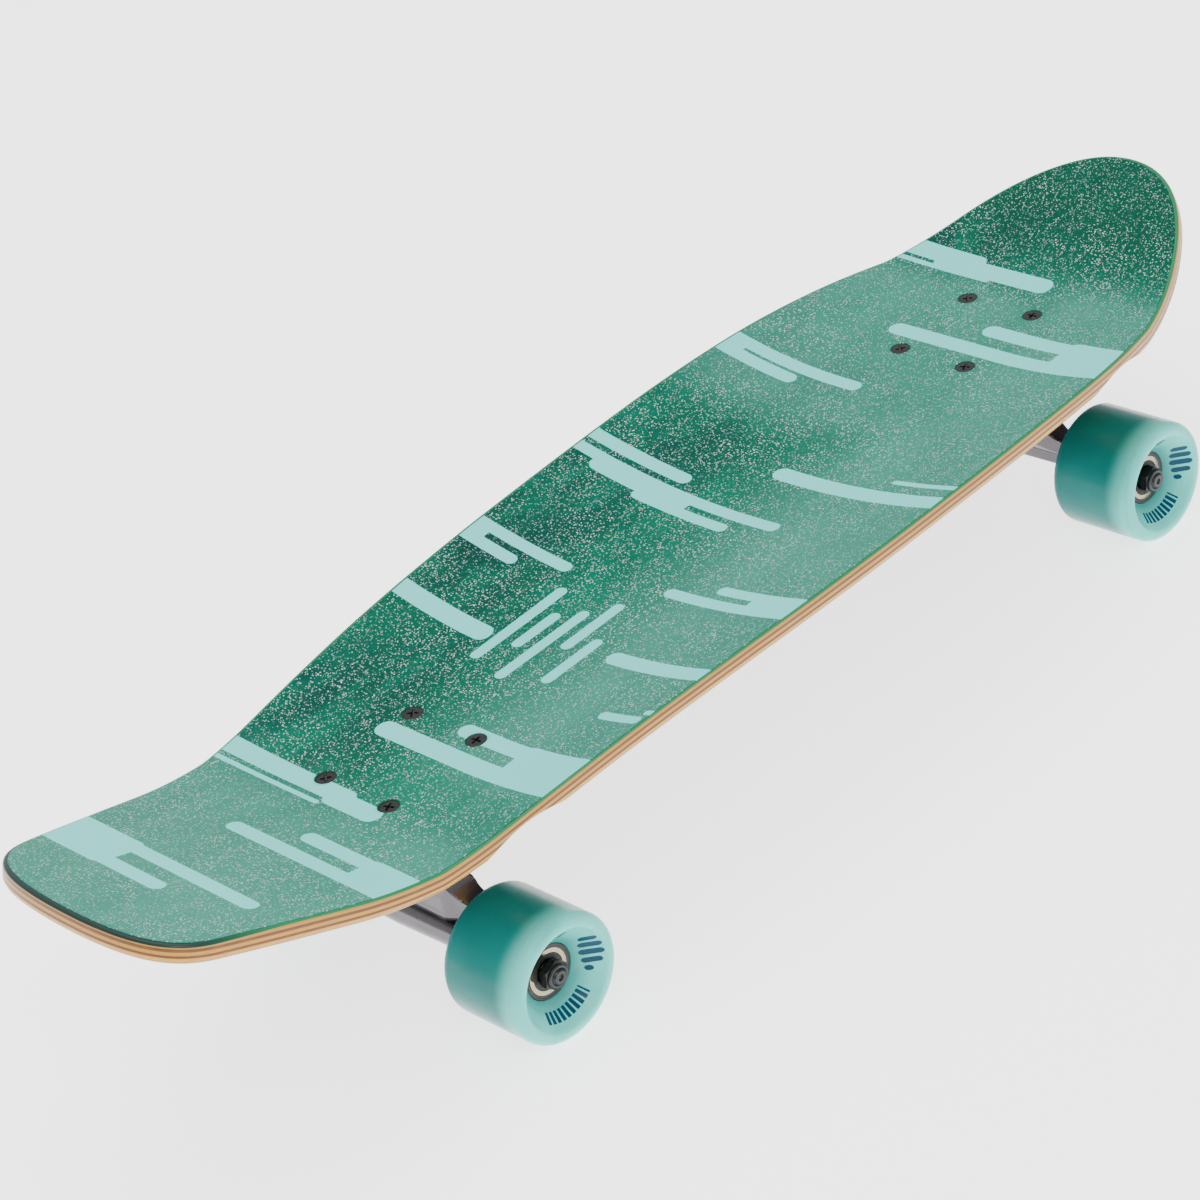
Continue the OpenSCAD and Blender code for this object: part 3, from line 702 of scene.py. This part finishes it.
def m_top():
    n = Nodes("stained_top")
    v = n.coords()
    mm = n.mapping(v, (1000, 1000, 1000), (-MID_X, 0, 0))
    x, y, _ = n.split(mm)
    best = None

    def stripe(x0, x1, y0, y1):
        """distance to a stripe with rounded corners, less than 0 inside it"""
        w, h = (x1 - x0) / 2, (y1 - y0) / 2
        r = min(w, h, STRIPE_ROUND)
        cx, cy = (x0 + x1) / 2, (y0 + y1) / 2
        ax = n.math("ABSOLUTE", n.math("SUBTRACT", x, cx))
        ay = n.math("ABSOLUTE", n.math("SUBTRACT", y, cy))
        ax = n.math("MAXIMUM", n.math("SUBTRACT", ax, w - r), 0.0)
        ay = n.math("MAXIMUM", n.math("SUBTRACT", ay, h - r), 0.0)
        q = n.math("SQRT", n.math("ADD", n.math("MULTIPLY", ax, ax), n.math("MULTIPLY", ay, ay)))
        return n.math("SUBTRACT", q, r)

    for s in STRIPES + BARS:
        d = stripe(*s)
        best = d if best is None else n.math("MINIMUM", best, d)
    ragged = n.math("MULTIPLY", n.math("SUBTRACT", n.noise(v, 900, 2, 0.5), 0.5), 0.5)
    ink = n.step(n.math("ADD", best, ragged), -0.22, 0.22, 1.0, 0.0)

    # stain over maple, cloudy; a little darker and bluer in blotches towards the left rim
    cloud = n.noise(v, 9.0, 4, 0.55, 0.3)
    c = n.mix(n.step(cloud, 0.35, 0.68), (0, 98, 76), (0, 118, 92))
    toward = n.step(y, -30, 96)
    blot = n.noise(n.mapping(v, (12, 26, 12)), 1.0, 4, 0.6, 0.5)
    dark = n.math("MULTIPLY", toward, n.step(blot, 0.42, 0.62))
    c = n.mix(n.math("MULTIPLY", dark, 0.72), c, (0, 46, 50))
    c = n.mix(n.step(x, 250, 300, 0.0, 0.7), c, (0, 76, 56))
    grain = n.noise(n.mapping(v, (10, 420, 10)), 1.0, 5, 0.6, 0.3)
    c = n.mix(n.math("MULTIPLY", n.step(grain, 0.4, 0.72), 0.3), c, (0, 58, 44))
    knot = n.noise(n.mapping(v, (30, 46, 30), (3.1, 0.4, 0)), 1.0, 3, 0.5, 1.2)
    c = n.mix(n.math("MULTIPLY", n.step(knot, 0.68, 0.8), 0.2), c, (84, 138, 84))
    # painted sheen: the tail, the right side and the front third are painted paler, standing in
    # for bright surroundings reflected at a grazing angle
    painted_sheen = n.math("MAXIMUM", n.step(x, -262, -205, 1.0, 0.0), n.step(y, -50, 26, 0.9, 0.0))
    third = n.math("MULTIPLY", n.step(x, 70, 115), n.step(x, 222, 256, 1.0, 0.0))
    painted_sheen = n.math("MAXIMUM", painted_sheen, n.math("MULTIPLY", third, 0.75))
    painted_sheen = n.math("MULTIPLY", painted_sheen, n.step(x, 240, 272, 1.0, 0.0))
    gap = n.step(n.math("ABSOLUTE", n.math("SUBTRACT", x, -214.0)), 8, 34, 0.45, 1.0)
    painted_sheen = n.math("MULTIPLY", painted_sheen, gap)
    sheen_patches = n.step(n.noise(n.mapping(v, (14, 40, 14)), 1.0, 4, 0.6, 0.4), 0.3, 0.7, 0.72, 1.0)
    painted_sheen = n.math("MULTIPLY", painted_sheen, sheen_patches)
    # the painted sheen mixes a paler teal into the top's colour
    c = n.mix(n.math("MULTIPLY", painted_sheen, 0.92), c, (66, 150, 130))
    # clear grit: pale flakes of several sizes
    f1 = n.voronoi(v, 1150)
    f2 = n.voronoi(v, 760)
    r1 = n.split(f1.outputs["Color"])
    r2 = n.split(f2.outputs["Color"])
    s1 = n.math("MULTIPLY", n.step(r1[0], 0.5, 0.9),
                n.step(f1.outputs["Distance"], 0.18, 0.46, 1, 0))
    s2 = n.math("MULTIPLY", n.step(r2[0], 0.62, 0.95),
                n.step(f2.outputs["Distance"], 0.16, 0.42, 1, 0))
    patch = n.step(n.noise(v, 30, 3, 0.6), 0.3, 0.65, 0.45, 1.0)
    spark = n.math("MULTIPLY", n.math("MAXIMUM", s1, s2), patch)
    # fewer flakes show through the painted sheen
    spark = n.math("MULTIPLY", spark, n.math("SUBTRACT", 1.0, n.math("MULTIPLY", painted_sheen, 0.25)))
    c = n.mix(ink, c, (118, 234, 228))
    show = n.math("MULTIPLY", spark, n.math("SUBTRACT", 1.0, n.math("MULTIPLY", ink, 0.8)))
    c = n.mix(n.math("MULTIPLY", show, 0.95), c, (236, 250, 245))
    rough = n.math("ADD", n.math("MULTIPLY", spark, 0.2), 0.45)
    n.set(Base_Color=c, Roughness=rough, Specular_IOR_Level=0.04)
    n.bump(n.math("ADD", n.math("MULTIPLY", s1, 0.7), s2), 0.35, 0.0003)
    return n.mat


top_mat = m_top()
TOP_IN, TOP_GAP = 2.0, 0.02
sheet_edge = [(ABOVE_IN, GRIP_T), (TOP_IN + 0.4, GRIP_T), (TOP_IN + 0.1, GRIP_T * 0.75),
              (TOP_IN, TOP_GAP)]
rings = [place(inner(f), -GRIP_T) for f in FS]
for ins, up in sheet_edge:
    rings.append(place(inset(RIM, ins), -up))
rings.append(place(inset(RIM, ABOVE_IN), -TOP_GAP))
for f in reversed(FS):
    rings.append(place(inner(f), -TOP_GAP))
top = shell("printed_top", rings, HALF_N, top_mat)


def bolt_places():
    """both trucks' bolts: the end's name and its four centres"""
    for s in (1, -1):
        cx = MID_X + s * BOLT_BASE / 2
        yield ("front" if s > 0 else "rear"), [
            (cx + a * BOLT_DX / 2, b * BOLT_DY / 2) for a in (-1, 1) for b in (-1, 1)]


# countersunk holes through board and top
cuts = []
for end, pts in bolt_places():
    for i, (bx, by) in enumerate(pts):
        m = Matrix.Translation((bx * MM, by * MM, DECK_Z * MM))
        prof = [(0.0, -16.0), (2.7, -16.0), (2.7, -2.6), (5.1, -0.05), (5.25, 3.0), (0.0, 3.0)]
        cuts.append(lathe("cut_%s_%d" % (end, i), prof, None, m, 48))
cut = join("bolt_cuts", cuts)
for ob in (deck, top):
    b = ob.modifiers.new("holes", "BOOLEAN")
    b.operation = "DIFFERENCE"
    b.solver = "EXACT"
    b.object = cut
    dg = bpy.context.evaluated_depsgraph_get()
    done = bpy.data.meshes.new_from_object(ob.evaluated_get(dg))
    ob.modifiers.clear()
    ob.data = done
bpy.data.objects.remove(cut)
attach(deck, "board")
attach(top, "board")
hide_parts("deck")
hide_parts("grip_sheet")

# ---------------------------------------------------------------- deck bolts
HEAD_R, BOLT_R, BOLT_LEN = 4.85, 2.4, 32.0
HEAD_TOP, HEAD_DOME, HEAD_GRID = 0.25, 0.22, 61
CROSS_HALF, CROSS_REACH, CROSS_DEPTH = 0.55, 2.6, 1.5
THREAD_TOP, THREAD_PITCH, THREAD_DEPTH = -16.0, 0.8, 0.3
# their nuts: across flats, height, and how far below the plate's top they start
LOCK_NUT, LOCK_NUT_H, LOCK_NUT_DROP = 9.5, 3.9, 6.0


def bolt(name, x, y, turn):
    """countersunk bolt with a real cross recess and ridged thread"""
    verts, faces = [], []

    def recess(px, py):
        # cross-shaped pocket, deepest in the middle
        c, s = math.cos(turn), math.sin(turn)
        u, w = px * c + py * s, -px * s + py * c
        arm = min(abs(u), abs(w))
        out = max(abs(u), abs(w))
        if arm < CROSS_HALF and out < CROSS_REACH:
            return CROSS_DEPTH * (1 - out / 3.4)
        return 0.0

    grid = HEAD_GRID
    idx = {}
    for i in range(grid):
        for j in range(grid):
            a = -1 + 2 * i / (grid - 1)
            b = -1 + 2 * j / (grid - 1)
            # square to disc
            px = a * math.sqrt(1 - b * b / 2) * HEAD_R
            py = b * math.sqrt(1 - a * a / 2) * HEAD_R
            r = math.hypot(px, py)
            z = HEAD_TOP - HEAD_DOME * (r / HEAD_R) ** 4 - recess(px, py)
            idx[i, j] = len(verts)
            verts.append(Vector(((x + px) * MM, (y + py) * MM, (DECK_Z + z) * MM)))
    for i in range(grid - 1):
        for j in range(grid - 1):
            faces.append((idx[i, j], idx[i + 1, j], idx[i + 1, j + 1], idx[i, j + 1]))
    loop = [idx[i, 0] for i in range(grid - 1)] + [idx[grid - 1, j] for j in range(grid - 1)]
    loop += [idx[i, grid - 1] for i in range(grid - 1, 0, -1)]
    loop += [idx[0, j] for j in range(grid - 1, 0, -1)]
    prof = [(HEAD_R, -0.25), (BOLT_R, -2.75)]
    z = THREAD_TOP
    prof.append((BOLT_R, z))
    while z > 1.0 - BOLT_LEN:
        prof += [(BOLT_R - THREAD_DEPTH, z - THREAD_PITCH / 2), (BOLT_R, z - THREAD_PITCH)]
        z -= THREAD_PITCH
    prof.append((BOLT_R - 0.5, -BOLT_LEN))
    prev = loop
    for r, zz in prof:
        ring = []
        for k in loop:
            d = Vector((verts[k].x - x * MM, verts[k].y - y * MM, 0)).normalized()
            ring.append(len(verts))
            verts.append(Vector((x * MM + d.x * r * MM, y * MM + d.y * r * MM,
                                 (DECK_Z + zz) * MM)))
        n = len(loop)
        for k in range(n):
            q = (k + 1) % n
            faces.append((prev[k], ring[k], ring[q], prev[q]))
        prev = ring
    faces.append(tuple(prev))
    return sharpen(make(name, verts, faces, blacked), BOLT_CREASE)


turns = [0.35, 0.9, 0.1, 0.62]
for end, pts in bolt_places():
    obs = [bolt("%s_bolt_%d" % (end, i), px, py, turns[i]) for i, (px, py) in enumerate(pts)]
    o = join(end + "_deck_bolts", obs)
    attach(o, "board")
    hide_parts(end + "_bolts")
    nuts = []
    for i, (px, py) in enumerate(pts):
        m = Matrix.Translation((px * MM, py * MM, (PLATE_Z - LOCK_NUT_DROP) * MM))
        m = m @ Matrix.Rotation(math.pi, 4, "X") @ Matrix.Rotation(0.4 * i, 4, "Z")
        nuts.append(hexagon("%s_nut_%d" % (end, i), LOCK_NUT, LOCK_NUT_H, BOLT_R + 0.02,
                            blacked, m, cap=(4.2, 1.6)))
    o = join(end + "_lock_nuts", nuts)
    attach(o, "board")
    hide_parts(end + "_bolt_nuts")


# ---------------------------------------------------------------- trucks
# pieces on a truck's leaning pin: its radius, its ends, its head and nut across flats
KING_R, KING_LOW, KING_TOP = 4.75, -26.0, 28.0
KING_HEAD, KING_NUT, KING_NUT_AT = 14.0, 14.2, -16.5
KING_HEX_H = 5.0
BUSH_HOLE, BUSH_R, BUSH_STEPS = 5.0, 11.0, 8
AXLE_R, AXLE_NUT, AXLE_NUT_H, AXLE_NUT_TURN = 3.95, 12.6, 4.5, 0.35
# size of the cubes that round the cast pieces and the pads
CAST_CUBE, PAD_CUBE = 0.7, 0.9


def thread(r, z0, z1, pitch, depth):
    """ridged outline from z0 up to z1"""
    out, z = [], z0
    while z < z1 - pitch:
        out += [(r, z), (r - depth, z + pitch / 2)]
        z += pitch
    out.append((r, z1))
    return out


for end in ("front", "rear"):
    s = 1 if end == "front" else -1
    cx = MID_X + s * BOLT_BASE / 2
    ax_x = FRONT_AXLE_X if s > 0 else REAR_AXLE_X
    body = end + "_truck"
    lean = math.radians(KING_LEAN)
    up = Vector((s * math.sin(lean), 0, math.cos(lean)))
    ring_at = Vector(((cx + s * RING_X) * MM, 0, RING_Z * MM))
    king = frame_of(ring_at, up, (0, 1, 0))

    plate = soften(end + "_baseplate", end + "_truck_plate", CAST_CUBE, 5, cast)
    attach(plate, "board")
    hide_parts(end + "_baseplate")
    hang = soften(end + "_hanger", end + "_truck_hanger", CAST_CUBE, 6, cast)
    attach(hang, body)
    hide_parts(end + "_hanger")
    pad = soften(end + "_riser_pad", end + "_pad", PAD_CUBE, 2, pad_rubber)
    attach(pad, "board")
    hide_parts(end + "_riser_pad")

    # bushings: slightly bulged urethane, squeezed between washers and ring
    ease = [t / BUSH_STEPS for t in range(BUSH_STEPS + 1)]
    prof = [(BUSH_HOLE, 2.5), (BUSH_R, 2.5)]
    prof += [(BUSH_R + 0.55 * math.sin(math.pi * t), 4 + 12.2 * t) for t in ease]
    prof += [(10.6, 16.5), (BUSH_HOLE, 16.5)]
    b = lathe(end + "_upper_bushing", prof, bush_mat, king)
    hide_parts(end + "_board_bushing")
    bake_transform(b)
    prof = [(BUSH_HOLE, -15.0), (9.0, -15.0), (9.3, -14.6)]
    prof += [(9.4 + 1.6 * t + 0.35 * math.sin(math.pi * t), -14.4 + 10.4 * t) for t in ease]
    prof += [(BUSH_R, -2.5), (BUSH_HOLE, -2.5)]
    b = lathe(end + "_lower_bushing", prof, bush_mat, king)
    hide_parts(end + "_road_bushing")
    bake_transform(b)

    # kingpin with its thread and head, then its nut
    prof = [(0.0, KING_LOW), (3.6, KING_LOW), (4.2, KING_LOW + 0.6)]
    prof += thread(KING_R, KING_LOW + 1.0, -9.0, 1.1, 0.5) + [(KING_R, KING_TOP), (0.0, KING_TOP)]
    kp = lathe(end + "_kp", prof, blacked, king, 64)
    m = king @ Matrix.Translation((0, 0, KING_TOP * MM))
    hd = hexagon(end + "_kh", KING_HEAD, KING_HEX_H, 0.5, blacked, m)
    o = join(end + "_king_bolt", [kp, hd])
    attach(o, "board")
    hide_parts(end + "_kingpin")
    m = king @ Matrix.Translation((0, 0, KING_NUT_AT * MM)) @ Matrix.Rotation(math.pi, 4, "X")
    o = hexagon(end + "_king_nut", KING_NUT, KING_HEX_H, KING_R + 0.02, blacked, m,
                cap=(6.8, 2.0))
    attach(o, "board")
    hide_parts(end + "_kingpin_nut")

    # axle with threaded ends
    axm = Matrix.Translation((ax_x * MM, 0, AXLE_Z * MM)) @ Matrix.Rotation(-math.pi / 2, 4, "X")
    half = hi_fa.y / MM
    top_part = [(AXLE_R, 60.0)] + thread(AXLE_R, BEARING_Y + 12.3, half - 1.0, 1.05, 0.4) + [
        (3.1, half), (1.6, half), (1.2, half - 0.8), (0.0, half - 0.9)]
    prof = top_part[::-1] + [(r, -z) for r, z in top_part]
    o = lathe(end + "_threaded_axle", prof, blacked, axm, 64, closed=False)
    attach(o, body)
    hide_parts(end + "_axle")
    nuts = []
    for side in (1, -1):
        m = Matrix.Translation((ax_x * MM, side * (BEARING_Y + NUT_OUT) * MM, AXLE_Z * MM))
        m = m @ Matrix.Rotation(-side * math.pi / 2, 4, "X")
        m = m @ Matrix.Rotation(AXLE_NUT_TURN, 4, "Z")
        nuts.append(hexagon("%s_an_%d" % (end, side), AXLE_NUT, AXLE_NUT_H, AXLE_R + 0.02,
                            blacked, m, cap=(5.9, 1.4)))
    o = join(end + "_axle_lock_nuts", nuts)
    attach(o, body)
    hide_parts(end + "_axle_nuts")

    for n in ("board_washer", "road_washer"):
        dress(end + "_" + n, plate_steel)
    for n, mt in (("speed_washers", blacked), ("bearing_spacers", bright),
                  ("bearing_inner_rings", ring_steel), ("pivot_cup", seal_black)):
        dress(end + "_" + n, mt)

    # ------------------------------------------------------------ wheels
    for side, sy in (("left", 1), ("right", -1)):
        w = "%s_%s" % (end, side)
        wb = w + "_wheel"
        axm = Matrix.Translation((ax_x * MM, 0, AXLE_Z * MM)) @ Matrix.Rotation(
            -sy * math.pi / 2, 4, "X")
        yi, yo = WHEEL_Y - WHEEL_W / 2, WHEEL_Y + WHEEL_W / 2
        R, lip, core_r = WHEEL_R, LIP_R, CORE_R
        bi, bo = BEARING_Y - CORE_HALF, BEARING_Y + CORE_HALF
        prof = [(core_r, bi), (core_r, bo)]
        prof += [(core_r + (24.1 - core_r) * t / 12, bo + (yo - bo - 0.9) * (t / 12) ** 1.12)
                 for t in range(1, 13)]
        prof += [(24.6, yo - 0.45), (25.2, yo - 0.12)]
        prof += arc(R - lip, yo - lip, lip, 90, 0, 12)
        prof += [(R, WHEEL_Y + 8), (R, WHEEL_Y), (R, WHEEL_Y - 8)]
        prof += arc(R - lip, yi + lip, lip, 0, -90, 12)
        prof += [(19.8, yi), (19.2, yi + 0.3), (18.8, yi + 0.9)]
        t = lathe(w + "_urethane", prof, urethane, axm, 144)
        spot = t.data.attributes.new("on_wheel", "FLOAT_VECTOR", "POINT")
        for i, q in enumerate(t.data.vertices):
            spot.data[i].vector = (q.co.x / MM - ax_x, q.co.z / MM - AXLE_Z,
                                   sy * q.co.y / MM - WHEEL_Y)
        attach(t, wb)
        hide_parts(w + "_tyre")
        prof = [(9.6, bi + 7.4), (11.02, bi + 7.4), (11.02, bi + 0.4), (11.3, bi), (13.0, bi),
                (13.38, bi + 0.4), (13.38, bo - 0.4), (13.0, bo), (12.3, bo), (12.1, bo - 0.2),
                (11.5, bo - 0.2), (11.02, bo - 0.5), (11.02, bo - 7.4), (9.6, bo - 7.4)]
        c = lathe(w + "_hub_core", prof, core_black, axm, 96)
        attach(c, wb)
        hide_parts(w + "_core")
        for n, mt in (("bearing_outer_rings", ring_steel), ("bearing_shields", seal_black),
                      ("bearing_balls", bright), ("bearing_cages", cage_mat)):
            dress(w + "_" + n, mt)

# ---------------------------------------------------------------- floor, lights, camera
FLOOR_GLOW, FLOOR_HALF = 2.3, 6
fl = Nodes("studio_floor")
fine = fl.noise(fl.coords(), 40, 2, 0.5)
fl.set(Base_Color=fl.mix(fl.math("MULTIPLY", fine, 0.1), (244, 244, 244), (238, 238, 238)),
       Roughness=0.6, Emission_Color=(1, 1, 1, 1), Emission_Strength=FLOOR_GLOW)
corners = [(a * FLOOR_HALF, b * FLOOR_HALF, 0) for a, b in ((-1, -1), (1, -1), (1, 1), (-1, 1))]
floor = make("floor", corners, [(0, 1, 2, 3)], fl.mat, False)

world = bpy.data.worlds.new("studio")
bpy.context.scene.world = world
world.use_nodes = True
world.node_tree.nodes["Background"].inputs[0].default_value = (1, 1, 1, 1)
world.node_tree.nodes["Background"].inputs[1].default_value = 1.0


def area(name, loc, at, size, power):
    """square light at loc, facing at"""
    ld = bpy.data.lights.new(name, "AREA")
    ld.energy = power
    ld.shape = "RECTANGLE"
    ld.size = size
    ld.size_y = size
    o = bpy.data.objects.new(name, ld)
    bpy.context.scene.collection.objects.link(o)
    o.location = loc
    o.rotation_mode = "QUATERNION"
    o.rotation_quaternion = (Vector(at) - Vector(loc)).to_track_quat("-Z", "Y")


area("key", (-0.9, -1.4, 1.9), (0, 0, 0.05), 1.0, 22)
area("over", (0.3, 0.5, 2.2), (0, 0, 0.08), 1.6, 20)

# camera place from the middle of the wheelbase and the deck top; its right and its view
CAM_AT = Vector((-0.9099, -1.0363, 0.8643))
CAM_RIGHT, CAM_VIEW, CAM_LENS = (0.6776, -0.7098, -0.1930), (0.5295, 0.6528, -0.5417), 104.14
cam_d = bpy.data.cameras.new("camera")
cam = bpy.data.objects.new("camera", cam_d)
bpy.context.scene.collection.objects.link(cam)
cam_d.sensor_width = 36.0
cam_d.lens = CAM_LENS
right = Vector(CAM_RIGHT).normalized()
fwd = Vector(CAM_VIEW)
fwd = (fwd - right * fwd.dot(right)).normalized()
up_v = right.cross(fwd).normalized()
rot = Matrix((right, up_v, -fwd)).transposed()
middle = Vector((MID_X * MM, 0, DECK_Z * MM))
cam.matrix_world = Matrix.Translation(middle + CAM_AT) @ rot.to_4x4()
cam_d.clip_start = 0.05
cam_d.clip_end = 20
bpy.context.scene.camera = cam
